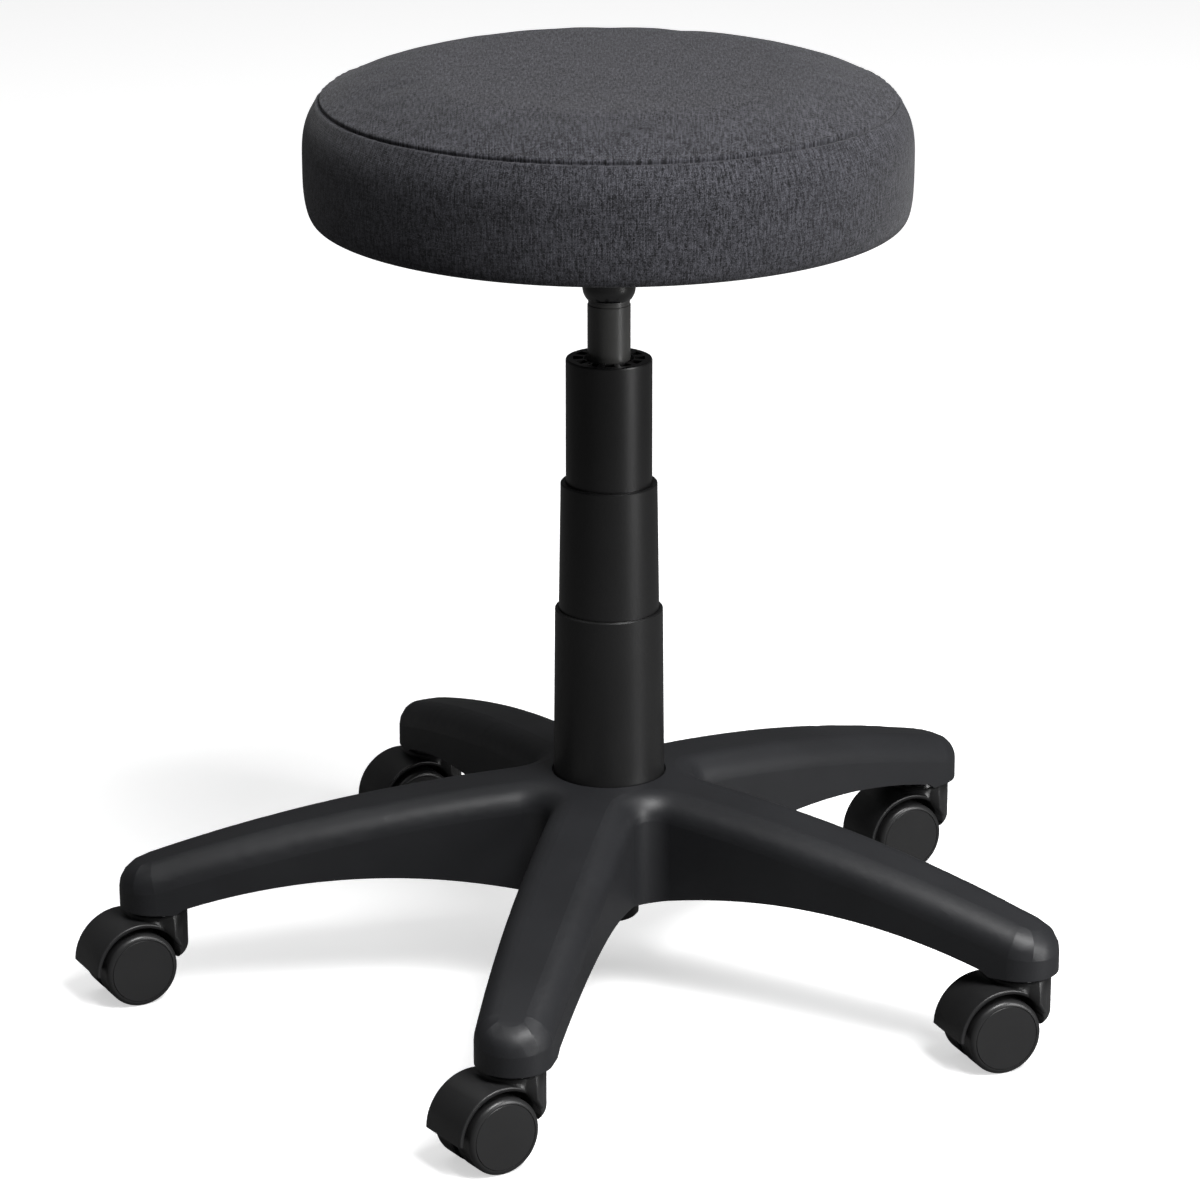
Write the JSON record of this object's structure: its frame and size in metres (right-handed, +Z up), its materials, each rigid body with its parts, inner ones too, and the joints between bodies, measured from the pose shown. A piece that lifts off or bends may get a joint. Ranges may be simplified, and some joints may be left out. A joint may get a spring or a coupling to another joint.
{
  "type": "swivel stool",
  "caption": "Height-adjustable round swivel stool with a padded fabric seat on a gas spring, telescopic column covers and a star base on twin-wheel casters",
  "frame": {"origin": "on the column axis at floor level, centre of the caster circle", "axes": "+Z up along the column axis; the lever points 20 degrees from +X towards +Y; at rest the seat is at its full height"},
  "size_m": [0.6432, 0.6399, 0.6145],
  "materials": {
    "seat_fabric": "melange twill, matte",
    "foam": "open cell",
    "plywood": "birch plywood",
    "dust_cloth": "non-woven, matte",
    "zinc_steel": "zinc plated",
    "black_steel": "powder coat, satin",
    "gloss_steel": "enamel, glossy",
    "gunmetal": "black chromed tube, satin gloss",
    "bright_steel": "ground",
    "base_nylon": "glass filled nylon, fine grain",
    "cover_plastic": "satin polypropylene",
    "caster_plastic": "satin gloss nylon",
    "acetal": "turned acetal",
    "rubber": "moulded",
    "brass": "turned"
  },
  "bodies": {
    "base": {"base_star": "base_nylon", "hub_ring": "zinc_steel", "column_tube": "black_steel", "guide_bush": "acetal", "cover_lower": "cover_plastic", "bearing_race_lower": "bright_steel", "bearing_balls": "bright_steel", "caster_grip_rings": "zinc_steel"},
    "rod": {"piston_rod": "bright_steel", "piston": "acetal", "bearing_race_upper": "bright_steel", "bump_stop": "rubber", "rod_clip": "zinc_steel"},
    "seat": {"seat_cover": "seat_fabric", "seat_foam": "foam", "seat_board": "plywood", "tee_nuts": "zinc_steel", "dust_cover": "dust_cloth", "staples": "zinc_steel", "seat_plate": "black_steel", "plate_hub": "gloss_steel", "plate_bolts": "zinc_steel", "lever_pivot": "zinc_steel", "pressure_cylinder": "gunmetal", "cylinder_liner": "bright_steel", "valve_body": "brass", "rod_seal": "rubber"},
    "lever": {"release_lever": "black_steel", "lever_grip": "cover_plastic"},
    "pin": {"release_pin": "bright_steel"},
    "middle_cover": {"cover_middle": "cover_plastic"},
    "upper_cover": {"cover_upper": "cover_plastic"},
    "caster_1": {"caster_1_stem": "bright_steel", "caster_1_hood": "caster_plastic", "caster_1_axle": "bright_steel"},
    "wheel_1_left": {"caster_1_wheel_left": "caster_plastic"},
    "wheel_1_right": {"caster_1_wheel_right": "caster_plastic"},
    "caster_2": {"caster_2_stem": "bright_steel", "caster_2_hood": "caster_plastic", "caster_2_axle": "bright_steel"},
    "wheel_2_left": {"caster_2_wheel_left": "caster_plastic"},
    "wheel_2_right": {"caster_2_wheel_right": "caster_plastic"},
    "caster_3": {"caster_3_stem": "bright_steel", "caster_3_hood": "caster_plastic", "caster_3_axle": "bright_steel"},
    "wheel_3_left": {"caster_3_wheel_left": "caster_plastic"},
    "wheel_3_right": {"caster_3_wheel_right": "caster_plastic"},
    "caster_4": {"caster_4_stem": "bright_steel", "caster_4_hood": "caster_plastic", "caster_4_axle": "bright_steel"},
    "wheel_4_left": {"caster_4_wheel_left": "caster_plastic"},
    "wheel_4_right": {"caster_4_wheel_right": "caster_plastic"},
    "caster_5": {"caster_5_stem": "bright_steel", "caster_5_hood": "caster_plastic", "caster_5_axle": "bright_steel"},
    "wheel_5_left": {"caster_5_wheel_left": "caster_plastic"},
    "wheel_5_right": {"caster_5_wheel_right": "caster_plastic"}
  },
  "joints": [
    {"name": "seat_swivel", "type": "hinge", "parent": "base", "child": "rod", "pos_m": [0, 0, 0.05], "axis": [0, 0, 1], "continuous": true},
    {"name": "seat_height", "type": "slide", "parent": "rod", "child": "seat", "axis": [0, 0, 1], "range_m": [-0.14, 0]},
    {"name": "lever_lift", "type": "hinge", "parent": "seat", "child": "lever", "pos_m": [0.02819, 0.01026, 0.51195], "axis": [0.342, -0.9397, 0], "range_deg": [0, 6], "stiffness_Nm_per_rad": 20, "springref_deg": -5.73},
    {"name": "pin_press", "type": "slide", "parent": "seat", "child": "pin", "axis": [0, 0, -1], "range_m": [0, 0.0033]},
    {"name": "middle_cover_slide", "type": "slide", "parent": "base", "child": "middle_cover", "axis": [0, 0, 1], "range_m": [-0.0515, 0]},
    {"name": "upper_cover_slide", "type": "slide", "parent": "middle_cover", "child": "upper_cover", "axis": [0, 0, 1], "range_m": [-0.0515, 0]},
    {"name": "caster_1_swivel", "type": "hinge", "parent": "base", "child": "caster_1", "pos_m": [-0.05816, -0.29645, 0.06], "axis": [0, 0, 1], "continuous": true},
    {"name": "wheel_1_left_spin", "type": "hinge", "parent": "caster_1", "child": "wheel_1_left", "pos_m": [-0.07474, -0.30763, 0.025], "axis": [0.5592, -0.829, 0], "continuous": true},
    {"name": "wheel_1_right_spin", "type": "hinge", "parent": "caster_1", "child": "wheel_1_right", "pos_m": [-0.07474, -0.30763, 0.025], "axis": [0.5592, -0.829, 0], "continuous": true},
    {"name": "caster_2_swivel", "type": "hinge", "parent": "base", "child": "caster_2", "pos_m": [0.26397, -0.14692, 0.06], "axis": [0, 0, 1], "continuous": true},
    {"name": "wheel_2_left_spin", "type": "hinge", "parent": "caster_2", "child": "wheel_2_left", "pos_m": [0.24556, -0.15474, 0.025], "axis": [0.3907, -0.9205, 0], "continuous": true},
    {"name": "wheel_2_right_spin", "type": "hinge", "parent": "caster_2", "child": "wheel_2_right", "pos_m": [0.24556, -0.15474, 0.025], "axis": [0.3907, -0.9205, 0], "continuous": true},
    {"name": "caster_3_swivel", "type": "hinge", "parent": "base", "child": "caster_3", "pos_m": [0.2213, 0.20565, 0.06], "axis": [0, 0, 1], "continuous": true},
    {"name": "wheel_3_left_spin", "type": "hinge", "parent": "caster_3", "child": "wheel_3_left", "pos_m": [0.20381, 0.19595, 0.025], "axis": [0.4848, -0.8746, 0], "continuous": true},
    {"name": "wheel_3_right_spin", "type": "hinge", "parent": "caster_3", "child": "wheel_3_right", "pos_m": [0.20381, 0.19595, 0.025], "axis": [0.4848, -0.8746, 0], "continuous": true},
    {"name": "caster_4_swivel", "type": "hinge", "parent": "base", "child": "caster_4", "pos_m": [-0.1272, 0.27402, 0.06], "axis": [0, 0, 1], "continuous": true},
    {"name": "wheel_4_left_spin", "type": "hinge", "parent": "caster_4", "child": "wheel_4_left", "pos_m": [-0.14469, 0.26432, 0.025], "axis": [0.4848, -0.8746, 0], "continuous": true},
    {"name": "wheel_4_right_spin", "type": "hinge", "parent": "caster_4", "child": "wheel_4_right", "pos_m": [-0.14469, 0.26432, 0.025], "axis": [0.4848, -0.8746, 0], "continuous": true},
    {"name": "caster_5_swivel", "type": "hinge", "parent": "base", "child": "caster_5", "pos_m": [-0.29991, -0.03629, 0.06], "axis": [0, 0, 1], "continuous": true},
    {"name": "wheel_5_left_spin", "type": "hinge", "parent": "caster_5", "child": "wheel_5_left", "pos_m": [-0.31757, -0.04568, 0.025], "axis": [0.4695, -0.8829, 0], "continuous": true},
    {"name": "wheel_5_right_spin", "type": "hinge", "parent": "caster_5", "child": "wheel_5_right", "pos_m": [-0.31757, -0.04568, 0.025], "axis": [0.4695, -0.8829, 0], "continuous": true}
  ],
  "couplings": [
    {"joint": "pin_press", "follows": "lever_lift", "m_per_rad": 0.03},
    {"joint": "middle_cover_slide", "follows": "seat_height", "ratio": 0.36429},
    {"joint": "upper_cover_slide", "follows": "seat_height", "ratio": 0.36429}
  ]
}
